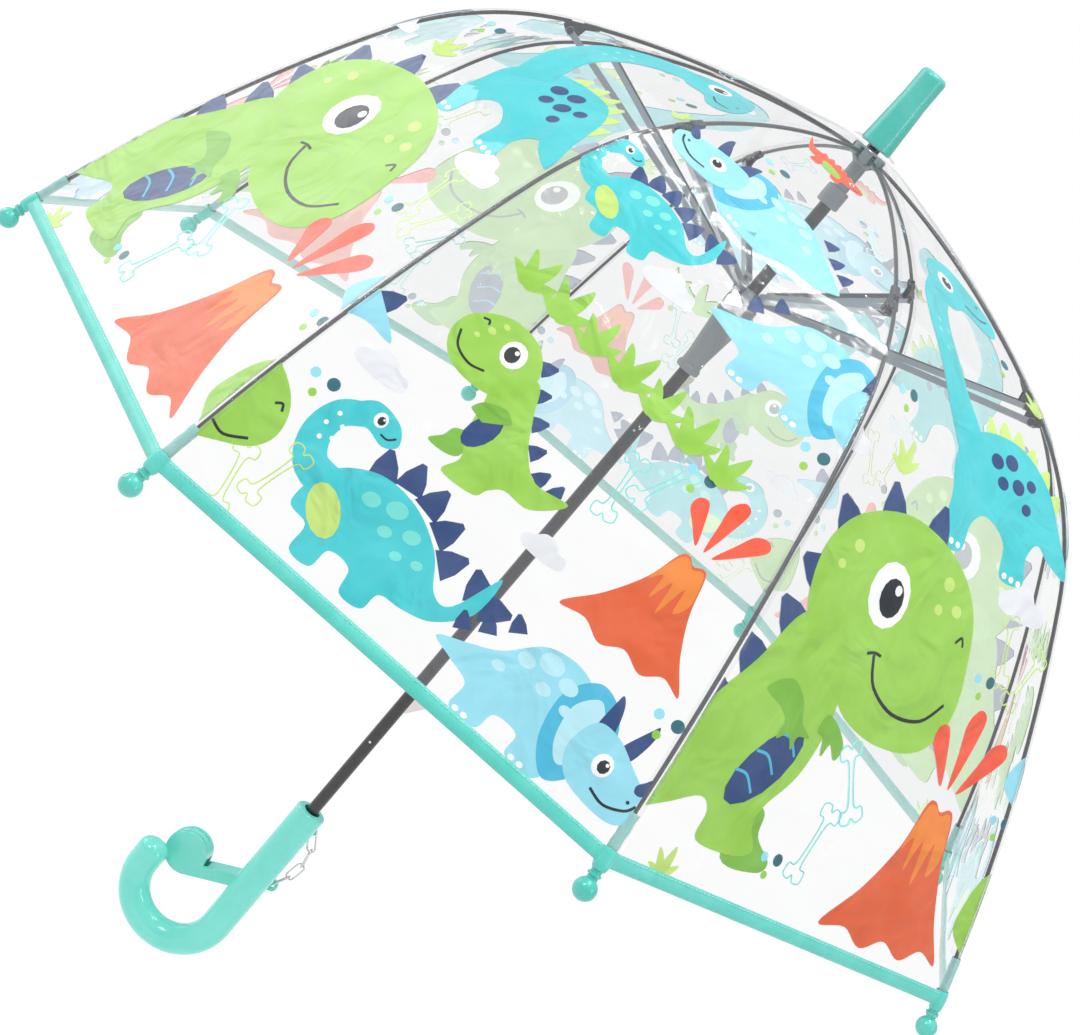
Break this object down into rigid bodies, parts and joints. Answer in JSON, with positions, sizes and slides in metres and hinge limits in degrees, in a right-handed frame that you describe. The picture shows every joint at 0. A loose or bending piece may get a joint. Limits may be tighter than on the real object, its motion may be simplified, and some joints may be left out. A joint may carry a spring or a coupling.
{
  "type": "children's dome umbrella",
  "caption": "See-through dome umbrella for a child, with folding steel ribs, a sliding runner, a hooked handle and a whistle on a short chain.",
  "frame": {"origin": "the middle of the handle's straight grip, on the shaft's axis", "axes": "+Z along the shaft towards the ferrule; the hook opens towards -X; the catches face +X"},
  "size_m": [0.6662, 0.666, 0.715],
  "materials": {
    "clear_film": "clear glossy film with a slight haze",
    "black_steel": "black semi-gloss paint",
    "grey_steel": "grey satin paint",
    "dark_steel": "dark semi-gloss paint",
    "teal_trim": "glossy moulded plastic",
    "mint_plastic": "glossy moulded plastic",
    "grey_plastic": "satin moulded plastic",
    "bright_wire": "bright plated wire",
    "hem_tape": "woven binding tape",
    "rib_pocket": "thin folded tape",
    "print_lime": "printed ink",
    "print_teal": "printed ink",
    "print_light_blue": "printed ink",
    "print_navy": "printed ink",
    "print_orange": "printed ink"
  },
  "bodies": {
    "frame": {"handle": "mint_plastic", "shaft": "dark_steel", "top_notch": "grey_plastic", "notch_wire": "bright_wire", "stop_collar": "grey_plastic", "ferrule": "teal_trim"},
    "rib_1": {"rib_upper_1": "black_steel"},
    "rib_end_1": {"rib_lower_1": "black_steel", "tip_1": "teal_trim"},
    "stretcher_1": {"stretcher_1": "grey_steel"},
    "film_top_1": {"film_upper_1": "clear_film"},
    "film_skirt_1": {"film_lower_1": "clear_film"},
    "rib_2": {"rib_upper_2": "black_steel"},
    "rib_end_2": {"rib_lower_2": "black_steel", "tip_2": "teal_trim"},
    "stretcher_2": {"stretcher_2": "grey_steel"},
    "film_top_2": {"film_upper_2": "clear_film"},
    "film_skirt_2": {"film_lower_2": "clear_film"},
    "rib_3": {"rib_upper_3": "black_steel"},
    "rib_end_3": {"rib_lower_3": "black_steel", "tip_3": "teal_trim"},
    "stretcher_3": {"stretcher_3": "grey_steel"},
    "film_top_3": {"film_upper_3": "clear_film"},
    "film_skirt_3": {"film_lower_3": "clear_film"},
    "rib_4": {"rib_upper_4": "black_steel"},
    "rib_end_4": {"rib_lower_4": "black_steel", "tip_4": "teal_trim"},
    "stretcher_4": {"stretcher_4": "grey_steel"},
    "film_top_4": {"film_upper_4": "clear_film"},
    "film_skirt_4": {"film_lower_4": "clear_film"},
    "rib_5": {"rib_upper_5": "black_steel"},
    "rib_end_5": {"rib_lower_5": "black_steel", "tip_5": "teal_trim"},
    "stretcher_5": {"stretcher_5": "grey_steel"},
    "film_top_5": {"film_upper_5": "clear_film"},
    "film_skirt_5": {"film_lower_5": "clear_film"},
    "rib_6": {"rib_upper_6": "black_steel"},
    "rib_end_6": {"rib_lower_6": "black_steel", "tip_6": "teal_trim"},
    "stretcher_6": {"stretcher_6": "grey_steel"},
    "film_top_6": {"film_upper_6": "clear_film"},
    "film_skirt_6": {"film_lower_6": "clear_film"},
    "rib_7": {"rib_upper_7": "black_steel"},
    "rib_end_7": {"rib_lower_7": "black_steel", "tip_7": "teal_trim"},
    "stretcher_7": {"stretcher_7": "grey_steel"},
    "film_top_7": {"film_upper_7": "clear_film"},
    "film_skirt_7": {"film_lower_7": "clear_film"},
    "rib_8": {"rib_upper_8": "black_steel"},
    "rib_end_8": {"rib_lower_8": "black_steel", "tip_8": "teal_trim"},
    "stretcher_8": {"stretcher_8": "grey_steel"},
    "film_top_8": {"film_upper_8": "clear_film"},
    "film_skirt_8": {"film_lower_8": "clear_film"},
    "runner": {"runner": "grey_plastic", "runner_wire": "bright_wire"},
    "top_catch": {"top_catch": "bright_wire"},
    "bottom_catch": {"bottom_catch": "bright_wire"},
    "chain": {"whistle_chain": "bright_wire"},
    "whistle": {"whistle": "mint_plastic"}
  },
  "joints": [
    {"name": "fold", "type": "hinge", "parent": "frame", "child": "rib_1", "pos_m": [0.00831, 0.00344, 0.566], "axis": [-0.3827, 0.9239, 0], "range_deg": [0, 69.27]},
    {"name": "rib_end_1_bend", "type": "hinge", "parent": "rib_1", "child": "rib_end_1", "pos_m": [0.16353, 0.06774, 0.5155], "axis": [-0.3827, 0.9239, 0], "range_deg": [-35.72, 0]},
    {"name": "stretcher_1_turn", "type": "hinge", "parent": "rib_1", "child": "stretcher_1", "pos_m": [0.16353, 0.06774, 0.5155], "axis": [-0.3827, 0.9239, 0], "range_deg": [-138.59, 0]},
    {"name": "film_top_1_fold", "type": "hinge", "parent": "frame", "child": "film_top_1", "pos_m": [0.00588, 0.00588, 0.566], "axis": [-0.7071, 0.7071, 0], "range_deg": [0, 69.74], "deforming": ["film_upper_1"]},
    {"name": "film_skirt_1_fold", "type": "hinge", "parent": "film_top_1", "child": "film_skirt_1", "pos_m": [0.11561, 0.11561, 0.5205], "axis": [-0.7071, 0.7071, 0], "range_deg": [-38.36, 0], "deforming": ["film_lower_1"]},
    {"name": "rib_2_fold", "type": "hinge", "parent": "frame", "child": "rib_2", "pos_m": [0.00344, 0.00831, 0.566], "axis": [-0.9239, 0.3827, 0], "range_deg": [0, 69.32]},
    {"name": "rib_end_2_bend", "type": "hinge", "parent": "rib_2", "child": "rib_end_2", "pos_m": [0.06774, 0.16353, 0.5155], "axis": [-0.9239, 0.3827, 0], "range_deg": [-35.72, 0]},
    {"name": "stretcher_2_turn", "type": "hinge", "parent": "rib_2", "child": "stretcher_2", "pos_m": [0.06774, 0.16353, 0.5155], "axis": [-0.9239, 0.3827, 0], "range_deg": [-138.59, 0]},
    {"name": "film_top_2_fold", "type": "hinge", "parent": "frame", "child": "film_top_2", "pos_m": [0, 0.00831, 0.566], "axis": [-1, 0, 0], "range_deg": [0, 69.74], "deforming": ["film_upper_2"]},
    {"name": "film_skirt_2_fold", "type": "hinge", "parent": "film_top_2", "child": "film_skirt_2", "pos_m": [0, 0.1635, 0.5205], "axis": [-1, 0, 0], "range_deg": [-38.36, 0], "deforming": ["film_lower_2"]},
    {"name": "rib_3_fold", "type": "hinge", "parent": "frame", "child": "rib_3", "pos_m": [-0.00344, 0.00831, 0.566], "axis": [-0.9239, -0.3827, 0], "range_deg": [0, 69.32]},
    {"name": "rib_end_3_bend", "type": "hinge", "parent": "rib_3", "child": "rib_end_3", "pos_m": [-0.06774, 0.16353, 0.5155], "axis": [-0.9239, -0.3827, 0], "range_deg": [-35.72, 0]},
    {"name": "stretcher_3_turn", "type": "hinge", "parent": "rib_3", "child": "stretcher_3", "pos_m": [-0.06774, 0.16353, 0.5155], "axis": [-0.9239, -0.3827, 0], "range_deg": [-138.59, 0]},
    {"name": "film_top_3_fold", "type": "hinge", "parent": "frame", "child": "film_top_3", "pos_m": [-0.00588, 0.00588, 0.566], "axis": [-0.7071, -0.7071, 0], "range_deg": [0, 69.74], "deforming": ["film_upper_3"]},
    {"name": "film_skirt_3_fold", "type": "hinge", "parent": "film_top_3", "child": "film_skirt_3", "pos_m": [-0.11561, 0.11561, 0.5205], "axis": [-0.7071, -0.7071, 0], "range_deg": [-38.36, 0], "deforming": ["film_lower_3"]},
    {"name": "rib_4_fold", "type": "hinge", "parent": "frame", "child": "rib_4", "pos_m": [-0.00831, 0.00344, 0.566], "axis": [-0.3827, -0.9239, 0], "range_deg": [0, 69.32]},
    {"name": "rib_end_4_bend", "type": "hinge", "parent": "rib_4", "child": "rib_end_4", "pos_m": [-0.16353, 0.06774, 0.5155], "axis": [-0.3827, -0.9239, 0], "range_deg": [-35.72, 0]},
    {"name": "stretcher_4_turn", "type": "hinge", "parent": "rib_4", "child": "stretcher_4", "pos_m": [-0.16353, 0.06774, 0.5155], "axis": [-0.3827, -0.9239, 0], "range_deg": [-138.59, 0]},
    {"name": "film_top_4_fold", "type": "hinge", "parent": "frame", "child": "film_top_4", "pos_m": [-0.00831, 0, 0.566], "axis": [0, -1, 0], "range_deg": [0, 69.74], "deforming": ["film_upper_4"]},
    {"name": "film_skirt_4_fold", "type": "hinge", "parent": "film_top_4", "child": "film_skirt_4", "pos_m": [-0.1635, 0, 0.5205], "axis": [0, -1, 0], "range_deg": [-38.36, 0], "deforming": ["film_lower_4"]},
    {"name": "rib_5_fold", "type": "hinge", "parent": "frame", "child": "rib_5", "pos_m": [-0.00831, -0.00344, 0.566], "axis": [0.3827, -0.9239, 0], "range_deg": [0, 69.32]},
    {"name": "rib_end_5_bend", "type": "hinge", "parent": "rib_5", "child": "rib_end_5", "pos_m": [-0.16353, -0.06774, 0.5155], "axis": [0.3827, -0.9239, 0], "range_deg": [-35.72, 0]},
    {"name": "stretcher_5_turn", "type": "hinge", "parent": "rib_5", "child": "stretcher_5", "pos_m": [-0.16353, -0.06774, 0.5155], "axis": [0.3827, -0.9239, 0], "range_deg": [-138.59, 0]},
    {"name": "film_top_5_fold", "type": "hinge", "parent": "frame", "child": "film_top_5", "pos_m": [-0.00588, -0.00588, 0.566], "axis": [0.7071, -0.7071, 0], "range_deg": [0, 69.74], "deforming": ["film_upper_5"]},
    {"name": "film_skirt_5_fold", "type": "hinge", "parent": "film_top_5", "child": "film_skirt_5", "pos_m": [-0.11561, -0.11561, 0.5205], "axis": [0.7071, -0.7071, 0], "range_deg": [-38.36, 0], "deforming": ["film_lower_5"]},
    {"name": "rib_6_fold", "type": "hinge", "parent": "frame", "child": "rib_6", "pos_m": [-0.00344, -0.00831, 0.566], "axis": [0.9239, -0.3827, 0], "range_deg": [0, 69.32]},
    {"name": "rib_end_6_bend", "type": "hinge", "parent": "rib_6", "child": "rib_end_6", "pos_m": [-0.06774, -0.16353, 0.5155], "axis": [0.9239, -0.3827, 0], "range_deg": [-35.72, 0]},
    {"name": "stretcher_6_turn", "type": "hinge", "parent": "rib_6", "child": "stretcher_6", "pos_m": [-0.06774, -0.16353, 0.5155], "axis": [0.9239, -0.3827, 0], "range_deg": [-138.59, 0]},
    {"name": "film_top_6_fold", "type": "hinge", "parent": "frame", "child": "film_top_6", "pos_m": [0, -0.00831, 0.566], "axis": [1, 0, 0], "range_deg": [0, 69.74], "deforming": ["film_upper_6"]},
    {"name": "film_skirt_6_fold", "type": "hinge", "parent": "film_top_6", "child": "film_skirt_6", "pos_m": [0, -0.1635, 0.5205], "axis": [1, 0, 0], "range_deg": [-38.36, 0], "deforming": ["film_lower_6"]},
    {"name": "rib_7_fold", "type": "hinge", "parent": "frame", "child": "rib_7", "pos_m": [0.00344, -0.00831, 0.566], "axis": [0.9239, 0.3827, 0], "range_deg": [0, 69.32]},
    {"name": "rib_end_7_bend", "type": "hinge", "parent": "rib_7", "child": "rib_end_7", "pos_m": [0.06774, -0.16353, 0.5155], "axis": [0.9239, 0.3827, 0], "range_deg": [-35.72, 0]},
    {"name": "stretcher_7_turn", "type": "hinge", "parent": "rib_7", "child": "stretcher_7", "pos_m": [0.06774, -0.16353, 0.5155], "axis": [0.9239, 0.3827, 0], "range_deg": [-138.59, 0]},
    {"name": "film_top_7_fold", "type": "hinge", "parent": "frame", "child": "film_top_7", "pos_m": [0.00588, -0.00588, 0.566], "axis": [0.7071, 0.7071, 0], "range_deg": [0, 69.74], "deforming": ["film_upper_7"]},
    {"name": "film_skirt_7_fold", "type": "hinge", "parent": "film_top_7", "child": "film_skirt_7", "pos_m": [0.11561, -0.11561, 0.5205], "axis": [0.7071, 0.7071, 0], "range_deg": [-38.36, 0], "deforming": ["film_lower_7"]},
    {"name": "rib_8_fold", "type": "hinge", "parent": "frame", "child": "rib_8", "pos_m": [0.00831, -0.00344, 0.566], "axis": [0.3827, 0.9239, 0], "range_deg": [0, 69.32]},
    {"name": "rib_end_8_bend", "type": "hinge", "parent": "rib_8", "child": "rib_end_8", "pos_m": [0.16353, -0.06774, 0.5155], "axis": [0.3827, 0.9239, 0], "range_deg": [-35.72, 0]},
    {"name": "stretcher_8_turn", "type": "hinge", "parent": "rib_8", "child": "stretcher_8", "pos_m": [0.16353, -0.06774, 0.5155], "axis": [0.3827, 0.9239, 0], "range_deg": [-138.59, 0]},
    {"name": "film_top_8_fold", "type": "hinge", "parent": "frame", "child": "film_top_8", "pos_m": [0.00831, 0, 0.566], "axis": [0, 1, 0], "range_deg": [0, 69.74], "deforming": ["film_upper_8"]},
    {"name": "film_skirt_8_fold", "type": "hinge", "parent": "film_top_8", "child": "film_skirt_8", "pos_m": [0.1635, 0, 0.5205], "axis": [0, 1, 0], "range_deg": [-38.36, 0], "deforming": ["film_lower_8"]},
    {"name": "runner_slide", "type": "hinge", "parent": "stretcher_1", "child": "runner", "pos_m": [0.00831, 0.00344, 0.465], "axis": [-0.3827, 0.9239, 0], "range_deg": [0, 69.32]},
    {"name": "top_catch_press", "type": "hinge", "parent": "frame", "child": "top_catch", "pos_m": [0, 0, 0.362], "axis": [0, -1, 0], "range_deg": [0, 4.3], "stiffness_Nm_per_rad": 0.5},
    {"name": "bottom_catch_press", "type": "hinge", "parent": "frame", "child": "bottom_catch", "pos_m": [0, 0, 0.11], "axis": [0, -1, 0], "range_deg": [0, 4.3], "stiffness_Nm_per_rad": 0.5},
    {"name": "chain_swing", "type": "hinge", "parent": "frame", "child": "chain", "pos_m": [0.008, 0.015, 0.033], "axis": [0, 1, 0], "range_deg": [-30, 30]},
    {"name": "whistle_swing", "type": "hinge", "parent": "chain", "child": "whistle", "pos_m": [0.00953, 0.015, -0.01153], "axis": [0, 1, 0], "range_deg": [-110, 10]}
  ],
  "couplings": [
    {"joint": "rib_end_1_bend", "follows": "fold", "ratio": -0.5149},
    {"joint": "stretcher_1_turn", "follows": "fold", "ratio": -2},
    {"joint": "film_top_1_fold", "follows": "fold", "ratio": 1.006},
    {"joint": "film_skirt_1_fold", "follows": "fold", "ratio": -0.553},
    {"joint": "rib_2_fold", "follows": "fold", "ratio": 1},
    {"joint": "rib_end_2_bend", "follows": "fold", "ratio": -0.5149},
    {"joint": "stretcher_2_turn", "follows": "fold", "ratio": -2},
    {"joint": "film_top_2_fold", "follows": "fold", "ratio": 1.006},
    {"joint": "film_skirt_2_fold", "follows": "fold", "ratio": -0.553},
    {"joint": "rib_3_fold", "follows": "fold", "ratio": 1},
    {"joint": "rib_end_3_bend", "follows": "fold", "ratio": -0.5149},
    {"joint": "stretcher_3_turn", "follows": "fold", "ratio": -2},
    {"joint": "film_top_3_fold", "follows": "fold", "ratio": 1.006},
    {"joint": "film_skirt_3_fold", "follows": "fold", "ratio": -0.553},
    {"joint": "rib_4_fold", "follows": "fold", "ratio": 1},
    {"joint": "rib_end_4_bend", "follows": "fold", "ratio": -0.5149},
    {"joint": "stretcher_4_turn", "follows": "fold", "ratio": -2},
    {"joint": "film_top_4_fold", "follows": "fold", "ratio": 1.006},
    {"joint": "film_skirt_4_fold", "follows": "fold", "ratio": -0.553},
    {"joint": "rib_5_fold", "follows": "fold", "ratio": 1},
    {"joint": "rib_end_5_bend", "follows": "fold", "ratio": -0.5149},
    {"joint": "stretcher_5_turn", "follows": "fold", "ratio": -2},
    {"joint": "film_top_5_fold", "follows": "fold", "ratio": 1.006},
    {"joint": "film_skirt_5_fold", "follows": "fold", "ratio": -0.553},
    {"joint": "rib_6_fold", "follows": "fold", "ratio": 1},
    {"joint": "rib_end_6_bend", "follows": "fold", "ratio": -0.5149},
    {"joint": "stretcher_6_turn", "follows": "fold", "ratio": -2},
    {"joint": "film_top_6_fold", "follows": "fold", "ratio": 1.006},
    {"joint": "film_skirt_6_fold", "follows": "fold", "ratio": -0.553},
    {"joint": "rib_7_fold", "follows": "fold", "ratio": 1},
    {"joint": "rib_end_7_bend", "follows": "fold", "ratio": -0.5149},
    {"joint": "stretcher_7_turn", "follows": "fold", "ratio": -2},
    {"joint": "film_top_7_fold", "follows": "fold", "ratio": 1.006},
    {"joint": "film_skirt_7_fold", "follows": "fold", "ratio": -0.553},
    {"joint": "rib_8_fold", "follows": "fold", "ratio": 1},
    {"joint": "rib_end_8_bend", "follows": "fold", "ratio": -0.5149},
    {"joint": "stretcher_8_turn", "follows": "fold", "ratio": -2},
    {"joint": "film_top_8_fold", "follows": "fold", "ratio": 1.006},
    {"joint": "film_skirt_8_fold", "follows": "fold", "ratio": -0.553},
    {"joint": "runner_slide", "follows": "fold", "ratio": 1}
  ]
}
